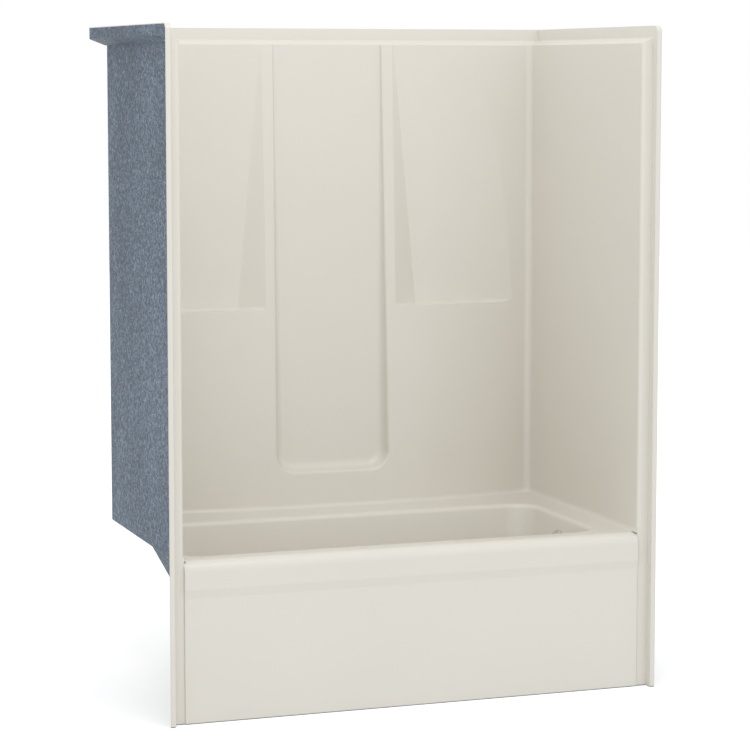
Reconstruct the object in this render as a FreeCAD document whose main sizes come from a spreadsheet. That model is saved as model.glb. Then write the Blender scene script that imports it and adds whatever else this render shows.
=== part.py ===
import FreeCAD, Part
import math
import os
import re
from types import SimpleNamespace

import Sketcher
from FreeCAD import Placement, Rotation, Vector

# Driving dimensions in millimetres, slopes in degrees.
SIZES = {
    # The outer box is measured over the lip that goes round the unit.
    "unit_width": 1391,
    "unit_depth": 838,
    "unit_height": 1829,
    # The skin is a sheet of acrylic on a fibreglass laminate.
    "liner_thickness": 2,
    "laminate_thickness": 4,
    "liner_lift": 2,
    # The lip stands on a ledge at the top and on the jambs in front.
    "lip_thickness": 14,
    "lip_height": 32,
    "lip_reach": 25,
    "lip_taper": 16,
    "lip_corner_radius": 18,
    "back_corner_radius": 15,
    "ledge_width": 31,
    "ledge_rise": 15,
    "jamb_edge_radius": 9,
    "wall_draft": 3,
    "corner_radius": 18,
    "corner_outer_radius": 10,
    # The back wall swells towards the room from its top to its foot.
    "belly_depth_top": 14,
    "belly_depth_foot": 70,
    "belly_flat_width": 400,
    # The tall recess in the middle of the back wall.
    "recess_width": 328,
    "recess_rise": 104,
    "recess_corner_radius": 55,
    "recess_lean": 22,
    "recess_side_draft": 13,
    "recess_foot_draft": 13,
    "recess_edge_radius": 8,
    "recess_edge_radius_top": 4,
    "recess_back_radius": 24,
    "recess_back_radius_top": 3,
    "recess_outer_radius": 2,
    # The niches over the two shelves, one each side of the recess.
    "shelf_height": 1016,
    "column_width": 400,
    "niche_gap": 12,
    "niche_slant": 75,
    "niche_end": 600,
    "niche_radius": 10,
    "wall_back_gap": 4,
    # The rim, the deck and the bathing well.
    "rim_height": 434,
    "rim_width": 78,
    "rim_radius": 30,
    "deck_radius": 12,
    "deck_core": 9,
    "deck_outer_radius": 6,
    "deck_back_width": 138,
    "deck_head_width": 28,
    "deck_foot_width": 86,
    "well_depth": 316,
    "well_edge_radius": 14,
    "well_floor_radius": 45,
    "head_corner_radius": 75,
    "head_corner_radius_top": 25,
    "foot_corner_radius": 70,
    "head_slope": 27,
    "foot_slope": 10,
    "side_slope": 7,
    # The apron closes the front below the rim.
    "apron_proud": 4,
    "band_proud": 4,
    "band_height": 88,
    "band_blend": 12,
    # Boards and runners bonded to the back of the laminate.
    "board_thickness": 12,
    "board_margin": 8,
    "runner_width": 38,
    "apron_board_margin": 90,
    "apron_board_lift": 20,
    "rail_thickness": 30,
    "rail_height": 36,
    # The drain and its stopper.
    "drain_setback": 95,
    "drain_hole": 51,
    "drain_flange_dia": 73,
    "drain_flange_thickness": 4,
    "drain_body_dia": 47,
    "drain_body_length": 40,
    "drain_bore": 38,
    "hub_dia": 24,
    "hub_length": 14,
    "spoke_width": 4,
    "guide_dia": 16,
    "guide_length": 24,
    "stem_dia": 9,
    "stem_length": 48,
    "cap_dia": 56,
    "cap_thickness": 5,
    "seal_dia": 52,
    "seal_thickness": 3,
    "slide_gap": 0.3,
    # The waste and overflow tubes with their slip joints.
    "gasket_thickness": 5,
    "gasket_dia": 66,
    "shoe_wall": 4,
    "shoe_flange_thickness": 5,
    "shoe_drop": 37,
    "tube_dia": 38.1,
    "tube_wall": 1.5,
    "socket_wall": 4,
    "socket_depth": 26,
    "riser_gap": 30,
    "elbow_drop": 45,
    "elbow_bore": 32,
    "overflow_drop": 79,
    "overflow_hole": 60,
    "overflow_gasket_bore": 52,
    "overflow_flange_dia": 78,
    "overflow_flange_thickness": 8,
    "overflow_plate_dia": 80,
    "overflow_plate_thickness": 2.5,
    "overflow_plate_rise": 9,
    "overflow_inlet_width": 30,
    "screw_spread": 44,
    "screw_dia": 5,
    "screw_head_dia": 9,
    "screw_head_height": 3,
    "nut_width": 56,
    "nut_lap": 10,
    "nut_shoulder": 4,
    "washer_length": 4,
    "tail_gap": 2,
    "bead_length": 2,
    "fit": 0.2,
}

# Places that several pieces share, each worked out from the driving dimensions.
PLACES = {
    "skin": "liner_thickness + laminate_thickness",
    "half_width": "unit_width / 2",
    "front_y": "-unit_depth / 2",
    "back_y": "unit_depth / 2",
    "lip_x": "half_width - lip_thickness",
    "lip_y": "back_y - lip_thickness",
    "jamb_y": "front_y + lip_reach",
    "wall_front_x": "lip_x - ledge_width",
    "wall_back_x": "wall_front_x - wall_draft",
    "wall_y": "lip_y - ledge_width",
    "niche_y": "wall_y - niche_gap",
    "wall_top_z": "unit_height - lip_height - ledge_rise",
    "ledge_slope": "atan2(ledge_rise; ledge_width)",
    "recess_foot_z": "rim_height + recess_rise",
    "recess_foot_y": "wall_y - wall_back_gap - recess_lean",
    "recess_slant": "recess_lean / (wall_top_z - recess_foot_z)",
    "apron_y": "jamb_y - apron_proud",
    "band_y": "apron_y - band_proud",
    "band_z": "rim_height - band_height",
    "rim_y": "band_y + rim_radius",
    "well_front_y": "band_y + rim_width",
    "well_back_y": "wall_y - belly_depth_foot - deck_back_width",
    "well_head_x": "deck_head_width - wall_back_x",
    "well_foot_x": "wall_back_x - deck_foot_width",
    "well_floor_z": "rim_height - well_depth",
    "under_floor_z": "well_floor_z - skin",
    "floor_head_x": "well_head_x + well_depth * tan(head_slope)",
    "floor_foot_x": "well_foot_x - well_depth * tan(foot_slope)",
    "floor_front_y": "well_front_y + well_depth * tan(side_slope)",
    "floor_back_y": "well_back_y - well_depth * tan(side_slope)",
    "split_x": "wall_back_x - ledge_width",
    "split_z": "rim_height + deck_radius + skin",
    "drain_x": "floor_foot_x - drain_setback",
    "drain_y": "(well_front_y + well_back_y) / 2",
    "drain_foot_z": "well_floor_z - drain_body_length",
    "stopper_z": "well_floor_z + drain_flange_thickness + slide_gap",
    "cap_z": "stopper_z + seal_thickness",
    "gasket_z": "under_floor_z - gasket_thickness",
    "waste_z": "gasket_z - shoe_drop",
    "tube_radius": "tube_dia / 2",
    "tube_bore": "tube_radius - tube_wall",
    "socket_bore": "tube_radius + fit",
    "socket_radius": "socket_bore + socket_wall",
    "shoe_bore": "drain_body_dia / 2 + fit",
    "shoe_radius": "shoe_bore + shoe_wall",
    "shoe_end_x": "drain_x + shoe_radius + socket_depth",
    "overflow_z": "rim_height - overflow_drop",
    "overflow_x": "well_foot_x - overflow_drop * tan(foot_slope)",
    "flange_start": "skin + gasket_thickness",
    "flange_end": "flange_start + overflow_flange_thickness",
    "riser_x": "overflow_x + flange_end + riser_gap",
    "elbow_foot_z": "overflow_z - elbow_drop",
    "tee_reach": "tube_radius + socket_depth",
}

doc = FreeCAD.newDocument("tub_and_shower_unit")
sheet = doc.addObject("Spreadsheet::Sheet", "sizes")
for row, (name, value) in enumerate(SIZES.items(), start=1):
    sheet.set(f"A{row}", name)
    sheet.set(f"B{row}", str(value))
    sheet.setAlias(f"B{row}", name)
doc.recompute()


def formula(text):
    """Expression text in which every size is a cell of the sheet and every place is written out."""

    def spell(match):
        name = match.group(0)
        if name in SIZES:
            return f"sizes.{name}"
        if name in PLACES:
            return f"({formula(PLACES[name])})"
        return name

    return re.sub(r"[a-z]\w*", spell, text)


def at(text):
    return float(sheet.evalExpression(formula(text)))


# The same numbers for the moulding, whose shape is worked out in code.
mm = SimpleNamespace(**{name: at(name) for name in [*SIZES, *PLACES]})
OVERSHOOT = 20
ACROSS = Vector(1, 0, 0)
NEAR = 0.01


def tangent(degrees):
    return math.tan(math.radians(degrees))


def line(a, b):
    return Part.makeLine(a, b)


def arc(a, middle, b):
    return Part.Arc(a, middle, b).toShape()


def corner_arc(centre, radius, a, b):
    middle = (a - centre) + (b - centre)
    middle.normalize()
    return arc(a, centre + middle * radius, b)


def lines(points):
    return [line(a, b) for a, b in zip(points, points[1:])]


def polygon(points):
    return Part.Wire(lines(points + points[:1]))


def loft(wires):
    return Part.makeLoft(wires, True, True)


def box(x0, x1, y0, y1, z0, z1):
    return Part.makeBox(x1 - x0, y1 - y0, z1 - z0, Vector(x0, y0, z0))


def mirrored(shape):
    return shape.mirror(Vector(0, 0, 0), ACROSS)


def samples(edge, count=5):
    first, last = edge.FirstParameter, edge.LastParameter
    return [edge.valueAt(first + (last - first) * i / (count - 1)) for i in range(count)]


def edges_at_height(shape, z):
    return [edge for edge in shape.Edges if all(abs(p.z - z) < NEAR for p in samples(edge))]


def room_section(grow, corner, belly, z):
    """Plan outline of the shower space at one height: two walls, and a back that bows into the room."""
    flat = mm.belly_flat_width / 2
    reach = mm.wall_back_x - flat
    radius = (reach**2 + belly**2) / (2 * belly)
    belly_centre = Vector(flat, mm.wall_y - belly + radius, z)
    along = Vector(-mm.wall_draft, mm.wall_y - mm.jamb_y, 0)
    along.normalize()
    inward = Vector(-along.y, along.x, 0)
    inset = corner - grow
    # The corner arc touches the wall and the bowed back, so its centre lies on a line and on a circle.
    start = Vector(mm.wall_front_x, mm.jamb_y, z) + inward * inset - belly_centre
    middle = start.dot(along)
    rest = start.dot(start) - (radius + inset) ** 2
    corner_centre = start + belly_centre - along * (middle + math.sqrt(middle**2 - rest))
    wall_end = corner_centre - inward * corner
    wall_start = wall_end - along * ((wall_end.y - mm.front_y + OVERSHOOT) / along.y)
    to_corner = corner_centre - belly_centre
    to_corner.normalize()
    belly_start = belly_centre + to_corner * (radius - grow)
    belly_end = Vector(flat, mm.wall_y - belly + grow, z)
    right = [
        line(wall_start, wall_end),
        corner_arc(corner_centre, corner, wall_end, belly_start),
        corner_arc(belly_centre, radius - grow, belly_start, belly_end),
    ]
    left = [mirrored(edge) for edge in right]
    ends = [line(p, Vector(-p.x, p.y, p.z)) for p in (belly_end, wall_start)]
    return Part.Wire(Part.__sortEdges__(right + left + ends))


def deck_z(grow):
    """Height of the deck. Its outside lies lower by the core that stiffens it."""
    return mm.rim_height - grow - (mm.deck_core if grow == mm.skin else 0)


def room(grow):
    """The shower space above the deck, with a round where its walls meet the deck."""
    low = deck_z(grow)
    corner, round_foot = mm.corner_radius + grow, mm.deck_radius + grow
    if grow == mm.skin:
        corner, round_foot = mm.corner_outer_radius, mm.deck_outer_radius
    foot = room_section(grow, corner, mm.wall_y - belly_y(low), low)
    top = room_section(grow, corner, mm.belly_depth_top, mm.wall_top_z)
    solid = loft([foot, top])
    edges = [edge for edge in edges_at_height(solid, low) if edge.CenterOfMass.y > mm.front_y]
    return solid.makeFillet(round_foot, edges)


def belly_y(z):
    share = (mm.wall_top_z - z) / (mm.wall_top_z - mm.rim_height)
    return mm.wall_y - mm.belly_depth_top - share * (mm.belly_depth_foot - mm.belly_depth_top)


def recess_y(z):
    return mm.recess_foot_y + (z - mm.recess_foot_z) * mm.recess_slant


def recess(grow):
    """The tall recess, from its leaning back to well in front of the wall."""
    deep = mm.recess_foot_y - belly_y(mm.recess_foot_z)

    def outline(depth):
        x = mm.recess_width / 2 + grow + depth * tangent(mm.recess_side_draft)
        low = mm.recess_foot_z + (deep - depth) * tangent(mm.recess_foot_draft) - grow
        high = mm.wall_top_z + OVERSHOOT
        radius = mm.recess_corner_radius + grow
        turn = radius * math.sqrt(0.5)

        def on_plane(x, z):
            return Vector(x, recess_y(z) + grow - depth, z)

        side = on_plane(x, low + radius)
        bend = on_plane(x - radius + turn, low + radius - turn)
        foot = on_plane(x - radius, low)
        right = [line(on_plane(x, high), side), arc(side, bend, foot)]
        left = [mirrored(edge) for edge in right]
        ends = [line(p, Vector(-p.x, p.y, p.z)) for p in (foot, on_plane(x, high))]
        return Part.Wire(Part.__sortEdges__(right + left + ends))

    return loft([outline(0), outline(deep + 3 * OVERSHOOT)])


def grown(points, grow):
    """Corners of a plan polygon, given anticlockwise, whose sides all move outwards by the same amount."""
    sides = []
    for a, b in zip(points, points[1:] + points[:1]):
        along = b - a
        along.normalize()
        sides.append((a + Vector(along.y, -along.x, 0) * grow, along))
    corners = []
    for (p, u), (q, v) in zip(sides[-1:] + sides[:-1], sides):
        gap = q - p
        corners.append(p + u * ((gap.x * v.y - gap.y * v.x) / (u.x * v.y - u.y * v.x)))
    return corners


def niche(grow):
    """The niche over the right-hand shelf: a wedge that fades into the wall upwards and towards the corner."""
    shelf_depth = mm.niche_y - belly_y(mm.shelf_height)
    slant = Vector(mm.niche_slant, shelf_depth, 0)

    def plan(z):
        front = belly_y(z)
        ridge = Vector(mm.column_width / 2, front, z)
        points = [
            ridge - slant * (3 * OVERSHOOT / shelf_depth),
            Vector(mm.niche_end, front - 3 * OVERSHOOT, z),
            Vector(mm.niche_end, mm.niche_y, z),
            ridge + slant * ((mm.niche_y - front) / shelf_depth),
        ]
        return grown(points, grow)

    foot = plan(mm.shelf_height - grow)
    solid = loft([polygon(foot), polygon(plan(mm.wall_top_z + OVERSHOOT))])
    inside = [edge for edge in solid.Edges if any(v.Point.isEqual(foot[-1], NEAR) for v in edge.Vertexes)]
    return solid.makeFillet(mm.niche_radius + grow, inside)


def wall_half(grow):
    """The right half of the shower space with its recess and niche."""
    right = box(0, mm.unit_width, -mm.unit_depth, mm.unit_depth, 0, mm.wall_top_z)
    solid = room(grow).fuse(recess(grow)).removeSplitter().common(right)
    recess_side = (mm.recess_width + mm.column_width) / 4
    back_top, edge_top = mm.recess_back_radius_top + grow, mm.recess_edge_radius_top - grow
    if grow == mm.skin:
        back_top = edge_top = mm.recess_outer_radius

    def long_edges(depth):
        tall = [edge for edge in solid.Edges if edge.BoundBox.ZLength > mm.recess_rise]
        inside = [edge for edge in tall if all(1 < p.x < recess_side for p in samples(edge)[1:-1])]
        return [edge for edge in inside if all(abs(p.y - depth(p.z) - grow) < 1 for p in samples(edge)[1:-1])]

    solid = solid.makeFillet(back_top, mm.recess_back_radius + grow, long_edges(recess_y))
    solid = solid.makeFillet(mm.recess_edge_radius - grow, edge_top, long_edges(belly_y))
    return solid.fuse(niche(grow).common(right)).removeSplitter()


def rounded_plan(x0, x1, y0, y1, z, head_radius, foot_radius):
    """Closed outline with one corner radius at its head end and another at its foot end."""
    corners = [
        (Vector(x1, y0, z), foot_radius, 1, -1),
        (Vector(x1, y1, z), foot_radius, 1, 1),
        (Vector(x0, y1, z), head_radius, -1, 1),
        (Vector(x0, y0, z), head_radius, -1, -1),
    ]
    arcs = []
    for corner, radius, sx, sy in corners:
        centre = corner - Vector(sx, sy, 0) * radius
        ends = [centre + Vector(0, sy, 0) * radius, centre + Vector(sx, 0, 0) * radius]
        if sx == sy:
            ends.reverse()
        arcs.append((centre, radius, *ends))
    edges = [corner_arc(*this) for this in arcs]
    edges += [line(this[3], following[2]) for this, following in zip(arcs, arcs[1:] + arcs[:1])]
    return Part.Wire(Part.__sortEdges__(edges))


def well(grow):
    """The bathing well: a sloped back at its head end, steep at its foot end, with a rounded floor."""

    def outline(z, head_radius):
        drop = mm.rim_height - z
        return rounded_plan(
            mm.well_head_x + drop * tangent(mm.head_slope) - grow,
            mm.well_foot_x - drop * tangent(mm.foot_slope) + grow,
            mm.well_front_y + drop * tangent(mm.side_slope) - grow,
            mm.well_back_y - drop * tangent(mm.side_slope) + grow,
            z,
            head_radius + grow,
            mm.foot_corner_radius + grow,
        )

    low = mm.well_floor_z - grow
    high = mm.rim_height + OVERSHOOT
    solid = loft([outline(low, mm.head_corner_radius), outline(high, mm.head_corner_radius_top)])
    return solid.makeFillet(mm.well_floor_radius + grow, edges_at_height(solid, low))


def inner_space(grow):
    """The shower space and the well, with a rounded edge between the deck and the well."""
    right = wall_half(grow)
    basin = well(grow)
    space = right.fuse([mirrored(right), basin]).removeSplitter()
    sides = Part.makeCompound(basin.Faces)
    level = edges_at_height(space, deck_z(grow))
    loop = [edge for edge in level if Part.Vertex(samples(edge)[2]).distToShape(sides)[0] < NEAR]
    return space.makeFillet(mm.well_edge_radius - grow, loop)


def lip_space(grow, lip_grow):
    """The space over the sloped ledge and inside the lip along the top."""
    slope = math.radians(mm.ledge_slope)

    def height(offset):
        return mm.wall_top_z + offset * math.tan(slope) - grow / math.cos(slope)

    def plan(offset):
        x, y, z = mm.wall_front_x + offset, mm.wall_y + offset, height(offset)
        front = mm.front_y - OVERSHOOT
        return polygon([Vector(-x, front, z), Vector(x, front, z), Vector(x, y, z), Vector(-x, y, z)])

    outer = mm.ledge_width + lip_grow
    x, y = mm.wall_front_x + outer, mm.wall_y + outer
    above = box(-x, x, mm.front_y - OVERSHOOT, y, height(outer), mm.unit_height + OVERSHOOT)
    return loft([plan(grow), plan(outer)]).fuse(above)


def apron_block(grow, half):
    """Solid behind the face of the apron, with the band under its round rim."""
    back = mm.rim_y + OVERSHOOT
    turn = mm.rim_height - mm.rim_radius

    def profile_point(y, z):
        return Vector(-half, y, z)

    face = [
        profile_point(mm.apron_y + grow, -OVERSHOOT),
        profile_point(mm.apron_y + grow, mm.band_z - mm.band_blend),
        profile_point(mm.band_y + grow, mm.band_z + mm.band_blend),
        profile_point(mm.band_y + grow, turn),
    ]
    top = profile_point(mm.rim_y, mm.rim_height - grow)
    rest = [top, profile_point(back, mm.rim_height - grow), profile_point(back, -OVERSHOOT), face[0]]
    rim = corner_arc(profile_point(mm.rim_y, turn), mm.rim_radius - grow, face[-1], top)
    wire = Part.Wire([*lines(face), rim, *lines(rest)])
    return Part.Face(wire).extrude(ACROSS * (2 * half))


def front_space(grow, lip_grow):
    """The space in front of the jambs and the apron, inside the lip down each side."""
    side = mm.lip_x + lip_grow
    over = mm.wall_front_x + grow
    jamb = mm.jamb_y + grow
    slab = box(-side, side, mm.front_y - OVERSHOOT, jamb, -OVERSHOOT, mm.unit_height + OVERSHOOT)
    rim = box(-over, over, jamb - 1, mm.rim_y, mm.rim_height - mm.rim_radius, mm.rim_height + 1)
    over_rim = rim.cut(apron_block(grow, over + 1))
    return slab.cut(apron_block(grow, mm.wall_front_x - grow)).fuse(over_rim)


def jamb_rounds(grow):
    """Rounds down the inner edges of the jambs, a little flatter than a quarter circle."""
    low = mm.rim_height + mm.deck_radius - grow
    reach = mm.jamb_edge_radius - grow
    corner = Vector(mm.wall_front_x + grow, mm.jamb_y + grow, low)
    inside = Vector(-OVERSHOOT / 4, 0, 0)
    before = Vector(0, -OVERSHOOT / 4, 0)
    start = corner + Vector(0, reach, 0)
    end = corner + Vector(reach, 0, 0)
    middle = corner + Vector(reach, reach, 0) * 0.342
    outline = [arc(start, middle, end)]
    outline += lines([end, end + before, corner + before + inside, start + inside, start])
    right = Part.Face(Part.Wire(outline)).extrude(Vector(0, 0, mm.wall_top_z + OVERSHOOT / 2 - low))
    return [right, mirrored(right)]


def cavity(grow, lip_grow):
    """All the space on the seen side of the unit, grown into the skin by a thickness."""
    pieces = [lip_space(grow, lip_grow), front_space(grow, lip_grow), *jamb_rounds(grow)]
    return inner_space(grow).fuse(pieces).removeSplitter()


def outer_block(inset):
    """The outer box with its front top edge and back corners rounded, its front and top moved in."""
    front, top = mm.front_y + inset, mm.unit_height - inset
    block = box(-mm.half_width, mm.half_width, front, mm.back_y, 0, top)

    def edges(test):
        return [edge for edge in block.Edges if test(edge.CenterOfMass)]

    block = block.makeFillet(
        mm.lip_corner_radius - inset, edges(lambda p: abs(p.y - front) < NEAR and abs(p.z - top) < NEAR)
    )
    backs = edges(lambda p: abs(p.y - mm.back_y) < NEAR and abs(abs(p.x) - mm.half_width) < NEAR)
    return block.makeFillet(mm.back_corner_radius, backs)


def lip_tapers():
    """Wedges off the outer sides of the front lip, which slope in from its edge to the back of the jamb."""
    start = mm.front_y + mm.liner_thickness
    back = mm.jamb_y + mm.skin + OVERSHOOT
    outer = mm.half_width + OVERSHOOT
    inner = mm.half_width - (back - start) * tangent(mm.lip_taper)
    plan = [(mm.half_width, start), (outer, start), (outer, back), (inner, back)]
    outline = polygon([Vector(x, y, -OVERSHOOT) for x, y in plan])
    right = Part.Face(outline).extrude(Vector(0, 0, mm.wall_top_z + OVERSHOOT))
    return [right, mirrored(right)]


def drain_holes():
    """The holes for the drain and the overflow."""
    deep = mm.skin + OVERSHOOT
    down = Vector(0, 0, -1)
    slope = math.radians(mm.foot_slope)
    outward = Vector(math.cos(slope), 0, -math.sin(slope))
    drain = Vector(mm.drain_x, mm.drain_y, mm.well_floor_z) - down * OVERSHOOT / 2
    overflow = Vector(mm.overflow_x, mm.drain_y, mm.overflow_z) - outward * OVERSHOOT / 2
    return [
        Part.makeCylinder(mm.drain_hole / 2, deep, drain, down),
        Part.makeCylinder(mm.overflow_hole / 2, deep, overflow, outward),
    ]


def feature(label, shape):
    piece = doc.addObject("Part::Feature", label)
    piece.Shape = shape
    piece.Placement = Placement()
    return piece


def moulding():
    """The acrylic liner and the fibreglass behind it, the latter cut into pieces that meet face to face."""
    skin = cavity(mm.skin, mm.lip_thickness).common(outer_block(0)).cut(cavity(0, 0))
    bare = skin.cut([*drain_holes(), *lip_tapers()])
    behind = outer_block(mm.liner_thickness).cut(cavity(mm.liner_thickness, mm.liner_thickness))
    floor = box(-mm.unit_width, mm.unit_width, -mm.unit_depth, mm.unit_depth, -1, mm.liner_lift)
    liner = bare.cut(behind).cut(floor)
    laminate = bare.common(behind)
    wide, deep, high = mm.unit_width, mm.unit_depth, mm.unit_height
    zones = {
        "back_wall_laminate": (-mm.split_x, mm.split_x, mm.rim_y, deep, mm.split_z, high),
        "left_wall_laminate": (-wide, -mm.split_x, -deep, deep, mm.split_z, high),
        "right_wall_laminate": (mm.split_x, wide, -deep, deep, mm.split_z, high),
        "tub_laminate": (-wide, wide, mm.rim_y, deep, 0, mm.split_z),
        "apron_laminate": (-wide, wide, -deep, mm.rim_y, 0, mm.split_z),
    }
    pieces = [feature("acrylic_liner", liner)]
    pieces += [feature(label, laminate.common(box(*zone))) for label, zone in zones.items()]
    return pieces


# The boards, the drain and the tubes are features whose sizes and places are bound to the sheet.
TURNS = {
    "up": Rotation(),
    "down": Rotation(Vector(0, 1, 0), 180),
    "right": Rotation(Vector(0, 1, 0), 90),
    "left": Rotation(Vector(0, 1, 0), -90),
    "through_wall": Rotation(Vector(0, 1, 0), 90 + mm.foot_slope),
    "into_well": Rotation(Vector(0, 1, 0), mm.foot_slope - 90),
    "on_wall": Rotation(Vector(0, 1, 0), mm.foot_slope),
}
STEPS = {"up": ("z", "+"), "down": ("z", "-"), "right": ("x", "+"), "left": ("x", "-")}
DRAIN = ("drain_x", "drain_y", "drain_foot_z")


def bind(piece, texts):
    for name, text in texts.items():
        piece.setExpression(name, formula(text))
    return piece


def stand(piece, place, turn="up"):
    """Turns a piece and binds the place of its origin."""
    piece.Placement = Placement(Vector(), TURNS[turn])
    return bind(piece, {f"Placement.Base.{axis}": text for axis, text in zip("xyz", place)})


def moved(place, way, distance):
    axis, sign = STEPS[way]
    return tuple(f"({text}) {sign} ({distance})" if axis == a else text for a, text in zip("xyz", place))


def on_wall(depth, aside="0", rise="0"):
    """Place at a depth into the foot wall of the well from the centre of the overflow."""
    return (
        f"overflow_x + ({depth}) * cos(foot_slope) + ({rise}) * sin(foot_slope)",
        f"drain_y + ({aside})",
        f"overflow_z - ({depth}) * sin(foot_slope) + ({rise}) * cos(foot_slope)",
    )


def block(name, x0, x1, y0, y1, z0, z1):
    piece = doc.addObject("Part::Box", name)
    spans = {"Length": (x0, x1), "Width": (y0, y1), "Height": (z0, z1)}
    bind(piece, {side: f"({high}) - ({low})" for side, (low, high) in spans.items()})
    return stand(piece, (x0, y0, z0))


def rod(name, radius, length, place, turn="up"):
    piece = doc.addObject("Part::Cylinder", name)
    bind(piece, {"Radius": radius, "Height": length})
    return stand(piece, place, turn)


def fused(name, *pieces):
    piece = doc.addObject("Part::MultiFuse", name)
    piece.Shapes = pieces
    return piece


def drilled(name, base, *tools):
    piece = doc.addObject("Part::Cut", name)
    piece.Base = base
    piece.Tool = tools[0] if len(tools) == 1 else fused(f"{name}_holes", *tools)
    return piece


def together(name, pieces):
    piece = doc.addObject("Part::Compound", name)
    piece.Links = pieces
    return piece


def tube(name, radius, bore, length, place, turn="up"):
    outside = rod(f"{name}_outside", radius, length, place, turn)
    return drilled(name, outside, rod(f"{name}_bore", bore, length, place, turn))


def turned(name, profile, place, turn="up"):
    """Body turned about its own axis from a profile of radii and heights."""
    body = doc.addObject("PartDesign::Body", name)
    sketch = body.newObject("Sketcher::SketchObject", f"{name}_profile")
    plane = next(item for item in body.Origin.OriginFeatures if item.Role == "XZ_Plane")
    sketch.AttachmentSupport = [(plane, "")]
    sketch.MapMode = "FlatFace"
    points = [Vector(at(radius), at(height), 0) for radius, height in profile]
    count = len(points)
    for i, point in enumerate(points):
        sketch.addGeometry(Part.LineSegment(point, points[(i + 1) % count]), False)
    for i, texts in enumerate(profile):
        sketch.addConstraint(Sketcher.Constraint("Coincident", i, 2, (i + 1) % count, 1))
        for kind, text in zip(("DistanceX", "DistanceY"), texts):
            index = sketch.addConstraint(Sketcher.Constraint(kind, -1, 1, i, 1, at(text)))
            sketch.setExpression(f"Constraints[{index}]", formula(text))
    doc.recompute()
    solid = body.newObject("PartDesign::Revolution", f"{name}_turn")
    solid.Profile = sketch
    solid.ReferenceAxis = (sketch, ["V_Axis"])
    solid.Angle = 360
    body.Tip = solid
    return stand(body, place, turn)


def boards():
    """The board and runners that carry the well floor, and the stiffeners behind the front."""
    x0 = "floor_head_x + head_corner_radius - well_floor_radius"
    x1 = "drain_x - gasket_dia / 2 - board_margin"
    y0 = "floor_front_y + well_floor_radius + board_margin"
    y1 = "floor_back_y - well_floor_radius - board_margin"
    under = "under_floor_z - board_thickness"
    pieces = [block("floor_core_board", x0, x1, y0, y1, under, "under_floor_z")]
    for i, side in enumerate(("left", "middle", "right")):
        left = f"{x0} + ({x1} - ({x0}) - runner_width) * {i} / 2"
        pieces.append(block(f"base_runner_{side}", left, f"{left} + runner_width", y0, y1, "0", under))
    end = "wall_front_x - apron_board_margin"
    face = "apron_y + skin"
    top = "band_z - band_blend - board_margin"
    pieces.append(
        block("apron_board", f"-({end})", end, face, f"{face} + board_thickness", "apron_board_lift", top)
    )
    face = "band_y + skin"
    foot = "band_z + band_blend + board_margin"
    rail = (face, f"{face} + rail_thickness", foot, f"{foot} + rail_height")
    pieces.append(block("rim_rail", f"-({end})", end, *rail))
    return pieces


def drain():
    """The drain, which clamps the floor between its flange and its shoe, and the stopper that closes it."""
    top = "drain_body_length + drain_flange_thickness"
    basket = turned(
        "drain_basket",
        [
            ("drain_bore / 2", "0"),
            ("drain_body_dia / 2", "0"),
            ("drain_body_dia / 2", "drain_body_length"),
            ("drain_flange_dia / 2", "drain_body_length"),
            ("drain_flange_dia / 2", "drain_body_length + drain_flange_thickness / 3"),
            ("drain_flange_dia / 2 - drain_flange_thickness", top),
            ("drain_bore / 2 + drain_flange_thickness / 2", top),
            ("drain_bore / 2", "drain_body_length + drain_flange_thickness / 2"),
        ],
        DRAIN,
    )
    reach = "drain_bore / 2 + fit"
    low, high = "drain_foot_z", "drain_foot_z + hub_length"
    spokes = []
    for dx, dy in ((reach, "spoke_width / 2"), ("spoke_width / 2", reach)):
        spans = (f"drain_x - ({dx})", f"drain_x + {dx}", f"drain_y - ({dy})", f"drain_y + {dy}")
        spokes.append(block("drain_spoke", *spans, low, high))
    hub = rod("drain_hub", "hub_dia / 2", "hub_length", DRAIN)
    guide_bore = rod("drain_hub_bore", "guide_dia / 2 + fit", "hub_length", DRAIN)
    spider = drilled("drain_spider", fused("drain_cross", hub, *spokes), guide_bore)
    middle = ("drain_x", "drain_y")
    cap = turned(
        "stopper_cap",
        [
            ("0", "0"),
            ("cap_dia / 2", "0"),
            ("cap_dia / 2", "cap_thickness / 3"),
            ("cap_dia / 2 - cap_thickness / 2", "cap_thickness * 0.8"),
            ("cap_dia / 4", "cap_thickness"),
            ("0", "cap_thickness"),
        ],
        (*middle, "cap_z"),
    )
    stem_place = (*middle, "cap_z - stem_length")
    guide_place = (*middle, "drain_foot_z - (guide_length - hub_length) / 2")
    return [
        fused("drain_flange", basket, spider),
        tube("stopper_guide", "guide_dia / 2", "stem_dia / 2 + slide_gap", "guide_length", guide_place),
        cap,
        tube("stopper_seal", "seal_dia / 2", "stem_dia / 2", "seal_thickness", (*middle, "stopper_z")),
        rod("stopper_stem", "stem_dia / 2", "stem_length", stem_place),
        tube("drain_gasket", "gasket_dia / 2", "shoe_bore", "gasket_thickness", (*middle, "gasket_z")),
    ]


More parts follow.
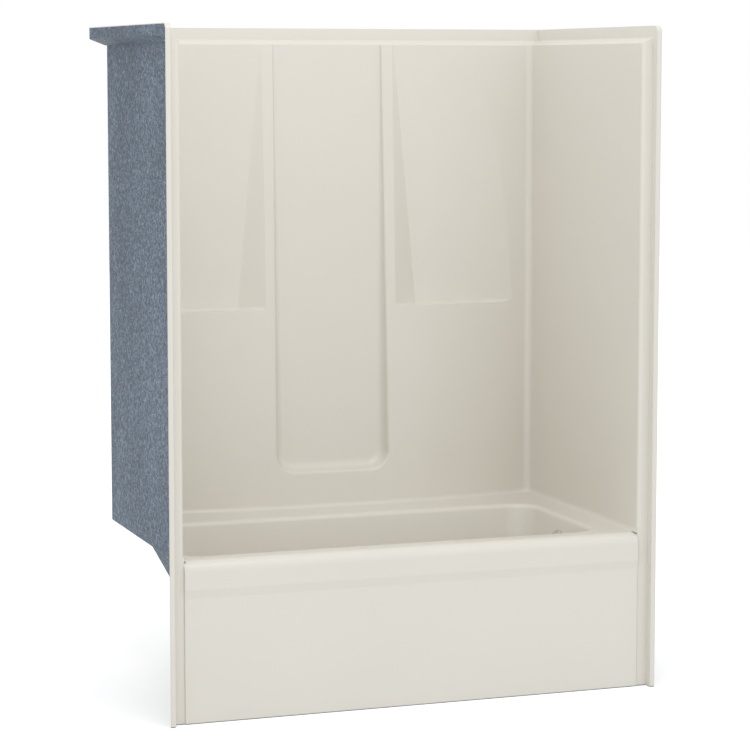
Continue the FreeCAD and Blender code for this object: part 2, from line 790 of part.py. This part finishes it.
def drain_shoe():
    """The elbow under the drain: a cup for the drain body and a socket for the waste tube."""
    cup_foot = ("drain_x", "drain_y", "waste_z - socket_radius - 1")
    axis = ("drain_x", "drain_y", "waste_z")
    inner_floor = ("drain_x", "drain_y", "waste_z - tube_radius")
    rest = ("drain_x", "drain_y", "drain_foot_z - 1")
    flange = ("drain_x", "drain_y", "gasket_z - shoe_flange_thickness")
    socket = ("shoe_end_x - socket_depth", "drain_y", "waste_z")
    outside = fused(
        "shoe_outside",
        rod("shoe_cup", "shoe_radius", "gasket_z - waste_z + socket_radius + 1", cup_foot),
        rod("shoe_flange", "gasket_dia / 2", "shoe_flange_thickness", flange),
        rod("shoe_arm", "socket_radius", "shoe_end_x - drain_x", axis, "right"),
    )
    return drilled(
        "drain_shoe",
        outside,
        rod("shoe_seat", "shoe_bore", "gasket_z - drain_foot_z + 1", rest),
        rod("shoe_well", "tube_radius", "drain_foot_z - waste_z + tube_radius", inner_floor),
        rod("shoe_way", "tube_bore", "shoe_end_x - drain_x", axis, "right"),
        rod("shoe_socket", "socket_bore", "socket_depth", socket, "right"),
    )


def waste_tee():
    """The tee where the waste and the overflow meet over the tailpiece."""
    centre = ("riser_x", "drain_y", "waste_z")
    foot = moved(centre, "down", "tee_reach")
    ends = {
        "down": foot,
        "up": moved(centre, "up", "tee_reach"),
        "left": moved(centre, "left", "tee_reach"),
    }
    back = {"down": "up", "up": "down", "left": "right"}
    outside = fused(
        "tee_outside",
        rod("tee_run", "socket_radius", "2 * tee_reach", foot),
        rod("tee_branch", "socket_radius", "tee_reach", centre, "left"),
    )
    ways = [
        rod("tee_run_way", "tube_bore", "2 * tee_reach", foot),
        rod("tee_branch_way", "tube_bore", "tee_reach", centre, "left"),
    ]
    sockets = [
        rod(f"tee_socket_{way}", "socket_bore", "socket_depth", place, back[way])
        for way, place in ends.items()
    ]
    return drilled("waste_tee", outside, *ways, *sockets)


def through_wall(name, radius, length, depth, aside="0"):
    """Rod square to the foot wall of the well, from a depth into it."""
    return rod(name, radius, length, on_wall(depth, aside), "through_wall")


def overflow():
    """The overflow: its elbow and gasket behind the foot wall, its plate and screws in the well."""
    bore = "elbow_bore / 2"
    stub = "(riser_x - overflow_x) / cos(foot_slope) - flange_end"
    through = f"{stub} + overflow_flange_thickness"
    foot = ("riser_x", "drain_y", "elbow_foot_z")
    height = "elbow_drop + socket_radius"
    seat = moved(foot, "up", "socket_depth")
    flange = "overflow_flange_dia / 2"
    screw_hole = "screw_dia / 2 + fit"
    sides = ("screw_spread / 2", "-screw_spread / 2")
    outside = fused(
        "elbow_outside",
        rod("elbow_riser", "socket_radius", height, foot),
        through_wall("elbow_stub", "socket_radius", stub, "flange_end"),
        through_wall("elbow_flange", flange, "overflow_flange_thickness", "flange_start"),
    )
    screw_holes = [
        through_wall("elbow_screw_hole", screw_hole, "overflow_flange_thickness", "flange_start", side)
        for side in sides
    ]
    elbow = drilled(
        "overflow_elbow",
        outside,
        rod("elbow_socket", "socket_bore", "socket_depth", foot),
        rod("elbow_riser_way", bore, "elbow_drop - socket_depth + elbow_bore / 4", seat),
        through_wall("elbow_stub_way", bore, through, "flange_start"),
        *screw_holes,
    )
    gasket = drilled(
        "overflow_gasket",
        through_wall("overflow_gasket_outside", flange, "gasket_thickness", "skin"),
        through_wall("overflow_gasket_hole", "overflow_gasket_bore / 2", "gasket_thickness", "skin"),
    )
    rise, wall, radius = "overflow_plate_rise", "overflow_plate_thickness", "overflow_plate_dia / 2"
    dish = turned(
        "overflow_dish",
        [
            ("0", f"{rise} - {wall}"),
            (f"{radius} - {wall}", f"{rise} - {wall}"),
            (f"{radius} - {wall}", "0"),
            (radius, "0"),
            (radius, f"{rise} - {wall}"),
            (f"{radius} - {wall}", rise),
            ("0", rise),
        ],
        on_wall("0"),
        "into_well",
    )
    inlet = doc.addObject("Part::Box", "overflow_inlet")
    bind(inlet, {"Length": f"{rise} - {wall}", "Width": "overflow_inlet_width", "Height": f"{radius}"})
    stand(inlet, on_wall(f"{wall} - {rise}", "-overflow_inlet_width / 2", f"-{radius} - 1"), "on_wall")
    plate_holes = [through_wall("plate_screw_hole", screw_hole, rise, f"-{rise}", side) for side in sides]
    plate = drilled("overflow_plate", dish, inlet, *plate_holes)
    screws = []
    for side in sides:
        top = f"-{rise} - screw_head_height"
        head = through_wall("screw_head", "screw_head_dia / 2", "screw_head_height", top, side)
        shank = through_wall("screw_shank", "screw_dia / 2", f"{rise} + flange_end", f"-{rise}", side)
        screws.append(fused("overflow_screw", head, shank))
    return [elbow, gasket, plate, together("overflow_screws", screws)]


def slip_joints():
    """One nut and one washer at the end of each socket, where they grip the tube."""
    tee = ("riser_x", "drain_y", "waste_z")
    ends = [
        (("shoe_end_x", "drain_y", "waste_z"), "right"),
        (moved(tee, "left", "tee_reach"), "left"),
        (moved(tee, "up", "tee_reach"), "up"),
        (moved(tee, "down", "tee_reach"), "down"),
        (("riser_x", "drain_y", "elbow_foot_z"), "down"),
    ]
    nuts, washers = [], []
    for i, (end, way) in enumerate(ends):
        start = moved(end, way, "-nut_lap")
        nut = doc.addObject("Part::Prism", f"nut_outside_{i}")
        nut.Polygon = 6
        length = "nut_lap + washer_length + nut_shoulder"
        bind(nut, {"Circumradius": "nut_width / 2 / cos(30)", "Height": length})
        stand(nut, start, way)
        lap = rod(f"nut_lap_{i}", "socket_radius + fit", "nut_lap + washer_length", start, way)
        nuts.append(drilled(f"nut_{i}", nut, lap, rod(f"nut_bore_{i}", "socket_bore", length, start, way)))
        washers.append(tube(f"washer_{i}", "socket_radius", "socket_bore", "washer_length", end, way))
    return [together("slip_nuts", nuts), together("slip_washers", washers)]


def tubes():
    """The tubes, each pushed home to just short of the stop in its sockets. A bead stops the tailpiece."""
    waste = ("shoe_end_x - socket_depth + 1", "drain_y", "waste_z")
    riser = ("riser_x", "drain_y", "waste_z + tube_radius + 1")
    tail = ("riser_x", "drain_y", "tail_gap")
    tail_end = "waste_z - tube_radius - tail_gap - 1"
    bead_end = "waste_z - tee_reach - washer_length - nut_shoulder - tail_gap - slide_gap"
    bead_start = f"{bead_end} - bead_length"
    runs = {
        "waste_tube": ("riser_x - tube_radius - shoe_end_x + socket_depth - 2", waste, "right"),
        "overflow_tube": ("elbow_foot_z + socket_depth - waste_z - tube_radius - 2", riser, "up"),
    }
    plain = [
        tube(name, "tube_radius", "tube_bore", length, place, turn)
        for name, (length, place, turn) in runs.items()
    ]
    tailpiece = turned(
        "tailpiece",
        [
            ("tube_bore", "0"),
            ("tube_radius", "0"),
            ("tube_radius", bead_start),
            ("tube_radius + tube_wall", bead_start),
            ("tube_radius + tube_wall", bead_end),
            ("tube_radius", bead_end),
            ("tube_radius", tail_end),
            ("tube_bore", tail_end),
        ],
        tail,
    )
    return [*plain, tailpiece]


pieces = [*moulding(), *boards(), *drain(), drain_shoe(), waste_tee()]
pieces += [*overflow(), *slip_joints(), *tubes()]
doc.recompute()
for item in doc.Objects:
    if "Invalid" in item.State or "Error" in item.State:
        raise RuntimeError(f"{item.Name} did not build: {item.State}")
os.makedirs("parts", exist_ok=True)
for piece in pieces:
    if piece.Shape.isNull() or not piece.Shape.isValid():
        raise RuntimeError(f"{piece.Label} is not a sound shape")
    piece.Shape.exportStep(f"parts/{piece.Label}.step")
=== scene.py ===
import bpy
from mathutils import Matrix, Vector

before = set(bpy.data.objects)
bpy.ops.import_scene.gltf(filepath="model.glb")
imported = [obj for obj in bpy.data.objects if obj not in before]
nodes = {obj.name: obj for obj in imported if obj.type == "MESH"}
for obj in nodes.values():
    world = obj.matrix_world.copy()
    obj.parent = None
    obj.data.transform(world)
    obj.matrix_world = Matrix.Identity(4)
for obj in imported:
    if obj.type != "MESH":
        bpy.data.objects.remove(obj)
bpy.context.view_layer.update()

# The photograph's view: where the camera stands, which way it looks, and its focal length in pixels.
EYE = Vector((-2.4392, -6.9033, 1.7098))
VIEW = Vector((0.332, 0.93704, -0.10826))
FOCAL_PX = 2619.3
IMAGE_PX = 750
SENSOR_MM = 36
SHIFT_PX = (4.0, -20.0)

# The studio, in metres and watts. The floor glows only where it is seen directly, so that it shows as white.
WORLD_STRENGTH = 0.92
FLOOR_SIZE = 30
FLOOR_GLOW = 0.42
LAMP_PLACE = Vector((-0.6, -2.4, 4.4))
LAMP_TARGET = Vector((0, 0, 0.8))
LAMP_SIZE = 3.0
LAMP_POWER = 39

# Colours as linear light.
CREAM = (0.775, 0.750, 0.685, 1)
CREAM_DEEP = (0.760, 0.733, 0.667, 1)
GLASS_DARK = (0.006, 0.016, 0.032, 1)
GLASS_MID = (0.052, 0.096, 0.150, 1)
GLASS_PALE = (0.225, 0.300, 0.375, 1)
BOARD_PALE = (0.520, 0.385, 0.235, 1)
BOARD_DARK = (0.330, 0.215, 0.115, 1)
CHROME = (0.800, 0.810, 0.830, 1)
CHROME_DULL = (0.640, 0.650, 0.670, 1)
BRASS = (0.720, 0.500, 0.210, 1)
BRASS_DULL = (0.500, 0.320, 0.120, 1)
RUBBER = (0.020, 0.020, 0.021, 1)
RUBBER_DUSTY = (0.055, 0.054, 0.052, 1)
PIPE = (0.790, 0.790, 0.770, 1)
PIPE_AGED = (0.700, 0.695, 0.660, 1)
FLOOR_PALE = (0.800, 0.800, 0.800, 1)
FLOOR_DEEP = (0.780, 0.780, 0.780, 1)
WHITE = (1, 1, 1, 1)


class Surface:
    """A material under construction: its nodes are added one by one and read object coordinates in metres."""

    def __init__(self, name, metallic=0.0, ior=1.5, coat=0.0, coat_roughness=0.03):
        self.material = bpy.data.materials.new(name)
        self.material.use_nodes = True
        self.tree = self.material.node_tree
        self.shader = self.tree.nodes["Principled BSDF"]
        self.shader.inputs["Metallic"].default_value = metallic
        self.shader.inputs["IOR"].default_value = ior
        self.shader.inputs["Coat Weight"].default_value = coat
        self.shader.inputs["Coat Roughness"].default_value = coat_roughness
        self.place = self.add("ShaderNodeTexCoord").outputs["Object"]

    def add(self, kind, inputs=None, **settings):
        node = self.tree.nodes.new(kind)
        for name, value in settings.items():
            setattr(node, name, value)
        for name, value in (inputs or {}).items():
            if isinstance(value, bpy.types.NodeSocket):
                self.tree.links.new(value, node.inputs[name])
            else:
                node.inputs[name].default_value = value
        return node

    def noise(self, scale, detail=3.0, roughness=0.5, distortion=0.0):
        """Noise with this many cells to the metre, one number or one for each axis."""
        vector = self.place
        if isinstance(scale, tuple):
            vector = self.add("ShaderNodeMapping", {"Vector": vector, "Scale": scale}).outputs["Vector"]
            scale = 1.0
        inputs = {
            "Vector": vector,
            "Scale": scale,
            "Detail": detail,
            "Roughness": roughness,
            "Distortion": distortion,
        }
        return self.add("ShaderNodeTexNoise", inputs).outputs["Fac"]

    def weighted_sum(self, value, weight, other):
        inputs = {0: value, 1: weight, 2: other}
        return self.add("ShaderNodeMath", inputs, operation="MULTIPLY_ADD").outputs[0]

    def mapped(self, value, source, target=(0.0, 1.0)):
        inputs = {
            "Value": value,
            "From Min": source[0],
            "From Max": source[1],
            "To Min": target[0],
            "To Max": target[1],
        }
        return self.add("ShaderNodeMapRange", inputs).outputs["Result"]

    def ramp(self, value, stops):
        node = self.add("ShaderNodeValToRGB", {"Fac": value})
        elements = node.color_ramp.elements
        while len(elements) < len(stops):
            elements.new(1)
        for element, (position, color) in zip(elements, stops):
            element.position = position
            element.color = color
        return node.outputs["Color"]

    def bevel(self, radius):
        return self.add("ShaderNodeBevel", {"Radius": radius}, samples=8).outputs["Normal"]

    def bump(self, height, strength, distance, normal=None):
        inputs = {"Height": height, "Strength": strength, "Distance": distance}
        if normal:
            inputs["Normal"] = normal
        return self.add("ShaderNodeBump", inputs).outputs["Normal"]

    def finish(self, color, roughness, normal):
        for name, value in (("Base Color", color), ("Roughness", roughness), ("Normal", normal)):
            self.tree.links.new(value, self.shader.inputs[name])
        return self.material


def acrylic():
    """Cream acrylic sheet: a gloss skin with a faint cloudiness and the waviness of a vacuum-formed sheet."""
    surface = Surface("cream_acrylic", ior=1.49, coat=0.25, coat_roughness=0.08)
    cloud = surface.noise(2.2, detail=4.0, roughness=0.55)
    color = surface.ramp(cloud, [(0.30, CREAM_DEEP), (0.70, CREAM)])
    roughness = surface.mapped(surface.noise(3.0, detail=1.0), (0.2, 0.8), (0.27, 0.33))
    waves = surface.noise(2.5, detail=0.0)
    normal = surface.bump(waves, strength=0.02, distance=0.01, normal=surface.bevel(0.003))
    return surface.finish(color, roughness, normal)


def fibreglass():
    """Blue-grey laminate: chopped strands lie in the resin as short streaks, paler where they come to its face."""
    surface = Surface("blue_fibreglass", ior=1.52)
    streaks = surface.noise((70, 70, 100), detail=4.0, roughness=0.62, distortion=1.2)
    fine = surface.noise((260, 260, 420), detail=4.0, roughness=0.7, distortion=0.4)
    clouds = surface.noise(3.0)
    mixed = surface.weighted_sum(fine, 0.5, streaks)
    total = surface.weighted_sum(clouds, 0.2, mixed)
    stops = [(0.0, GLASS_DARK), (0.5, GLASS_MID), (1.0, GLASS_PALE)]
    color = surface.ramp(surface.mapped(total, (0.68, 1.04)), stops)
    roughness = surface.mapped(fine, (0.3, 0.7), (0.42, 0.68))
    strands = surface.bump(streaks, strength=0.45, distance=0.0016)
    normal = surface.bump(fine, strength=0.30, distance=0.0007, normal=strands)
    return surface.finish(color, roughness, normal)


def board():
    """Raw board with its grain along the length of the unit."""
    surface = Surface("raw_board", ior=1.4)
    grain = surface.noise((3, 60, 60), detail=6.0, roughness=0.6, distortion=1.2)
    pores = surface.noise((30, 700, 700), roughness=0.6, distortion=0.2)
    color = surface.ramp(grain, [(0.32, BOARD_DARK), (0.62, BOARD_PALE)])
    roughness = surface.mapped(pores, (0.3, 0.7), (0.62, 0.86))
    coarse = surface.bump(grain, strength=0.25, distance=0.0012)
    normal = surface.bump(pores, strength=0.4, distance=0.0005, normal=coarse)
    return surface.finish(color, roughness, normal)


def metal(name, bright, dull, smooth, rough):
    """Polished metal with faint smears of water and wiping."""
    surface = Surface(name, metallic=1.0)
    smear = surface.noise((60, 60, 180), detail=5.0, roughness=0.6, distortion=0.8)
    color = surface.ramp(smear, [(0.35, dull), (0.65, bright)])
    roughness = surface.mapped(smear, (0.3, 0.7), (rough, smooth))
    grain = surface.noise(900.0, detail=2.0)
    normal = surface.bump(grain, strength=0.04, distance=0.0002, normal=surface.bevel(0.0006))
    return surface.finish(color, roughness, normal)


def rubber():
    """Matt black rubber with dust in its pores."""
    surface = Surface("black_rubber", ior=1.5)
    grain = surface.noise(420.0, detail=4.0, roughness=0.65)
    color = surface.ramp(grain, [(0.35, RUBBER), (0.75, RUBBER_DUSTY)])
    roughness = surface.mapped(grain, (0.3, 0.7), (0.62, 0.85))
    return surface.finish(color, roughness, surface.bump(grain, strength=0.35, distance=0.0004))


def pipe_plastic():
    """White pipe plastic with a moulded, slightly uneven face."""
    surface = Surface("white_pipe_plastic", ior=1.46)
    cloud = surface.noise(16.0, detail=4.0, roughness=0.6)
    color = surface.ramp(cloud, [(0.30, PIPE_AGED), (0.68, PIPE)])
    roughness = surface.mapped(surface.noise(120.0), (0.3, 0.7), (0.34, 0.5))
    grain = surface.noise(500.0, detail=2.0)
    normal = surface.bump(grain, strength=0.12, distance=0.0003, normal=surface.bevel(0.0008))
    return surface.finish(color, roughness, normal)


def dress(material, names):
    for name in names:
        slots = nodes[name].data.materials
        slots.clear()
        slots.append(material)


def dress_all():
    wall_pieces = ("back_wall", "left_wall", "right_wall", "tub", "apron")
    dress(acrylic(), ["acrylic_liner"])
    dress(fibreglass(), [f"{piece}_laminate" for piece in wall_pieces])
    runners = [f"base_runner_{side}" for side in ("left", "middle", "right")]
    dress(board(), ["floor_core_board", "apron_board", "rim_rail", *runners])
    chrome_nodes = ["drain_flange", "stopper_cap", "overflow_plate", "overflow_screws"]
    dress(metal("polished_chrome", CHROME, CHROME_DULL, smooth=0.06, rough=0.16), chrome_nodes)
    brass_nodes = ["stopper_guide", "stopper_stem"]
    dress(metal("bare_brass", BRASS, BRASS_DULL, smooth=0.2, rough=0.36), brass_nodes)
    dress(rubber(), ["stopper_seal", "drain_gasket", "overflow_gasket", "slip_washers"])
    tube_nodes = ["waste_tube", "overflow_tube", "tailpiece", "slip_nuts"]
    dress(pipe_plastic(), ["drain_shoe", "waste_tee", "overflow_elbow", *tube_nodes])


def make_camera():
    data = bpy.data.cameras.new("camera")
    data.sensor_width = SENSOR_MM
    data.lens = FOCAL_PX / IMAGE_PX * SENSOR_MM
    data.shift_x = SHIFT_PX[0] / IMAGE_PX
    data.shift_y = SHIFT_PX[1] / IMAGE_PX
    camera = bpy.data.objects.new("camera", data)
    camera.location = EYE
    camera.rotation_euler = VIEW.to_track_quat("-Z", "Y").to_euler()
    bpy.context.scene.collection.objects.link(camera)
    bpy.context.scene.camera = camera


def seen_directly(tree):
    """1 for a ray from the camera, a mirror or through glass, 0 for a ray that lights the object."""
    path = tree.nodes.new("ShaderNodeLightPath")
    value = path.outputs["Is Camera Ray"]
    for kind in ("Is Glossy Ray", "Is Transmission Ray"):
        larger = tree.nodes.new("ShaderNodeMath")
        larger.operation = "MAXIMUM"
        tree.links.new(value, larger.inputs[0])
        tree.links.new(path.outputs[kind], larger.inputs[1])
        value = larger.outputs[0]
    return value


def make_world():
    """Even studio light that the camera and mirrors see as white."""
    world = bpy.data.worlds.new("studio")
    bpy.context.scene.world = world
    world.use_nodes = True
    tree = world.node_tree
    light = tree.nodes["Background"]
    light.inputs["Color"].default_value = WHITE
    light.inputs["Strength"].default_value = WORLD_STRENGTH
    white = tree.nodes.new("ShaderNodeBackground")
    white.inputs["Color"].default_value = WHITE
    mix = tree.nodes.new("ShaderNodeMixShader")
    tree.links.new(seen_directly(tree), mix.inputs["Fac"])
    tree.links.new(light.outputs["Background"], mix.inputs[1])
    tree.links.new(white.outputs["Background"], mix.inputs[2])
    tree.links.new(mix.outputs["Shader"], tree.nodes["World Output"].inputs["Surface"])


def make_floor():
    """Pale floor that shows as white and keeps the object's shadow."""
    half = FLOOR_SIZE / 2
    corners = [(-half, -half, 0), (half, -half, 0), (half, half, 0), (-half, half, 0)]
    mesh = bpy.data.meshes.new("floor")
    mesh.from_pydata(corners, [], [(0, 1, 2, 3)])
    floor = bpy.data.objects.new("floor", mesh)
    bpy.context.scene.collection.objects.link(floor)
    surface = Surface("pale_floor")
    paper = surface.noise(40.0)
    color = surface.ramp(paper, [(0.3, FLOOR_DEEP), (0.7, FLOOR_PALE)])
    roughness = surface.mapped(paper, (0.3, 0.7), (0.85, 0.95))
    surface.finish(color, roughness, surface.bump(paper, strength=0.05, distance=0.0005))
    surface.shader.inputs["Specular IOR Level"].default_value = 0
    glow = surface.mapped(seen_directly(surface.tree), (0, 1), (0, FLOOR_GLOW))
    surface.shader.inputs["Emission Color"].default_value = WHITE
    surface.tree.links.new(glow, surface.shader.inputs["Emission Strength"])
    mesh.materials.append(surface.material)


def make_lamp():
    data = bpy.data.lights.new("front_light", "AREA")
    data.shape = "DISK"
    data.size = LAMP_SIZE
    data.energy = LAMP_POWER
    lamp = bpy.data.objects.new("front_light", data)
    lamp.location = LAMP_PLACE
    lamp.rotation_euler = (LAMP_TARGET - LAMP_PLACE).to_track_quat("-Z", "Y").to_euler()
    bpy.context.scene.collection.objects.link(lamp)


bpy.context.scene.view_settings.view_transform = "Standard"
dress_all()
make_camera()
make_world()
make_floor()
make_lamp()
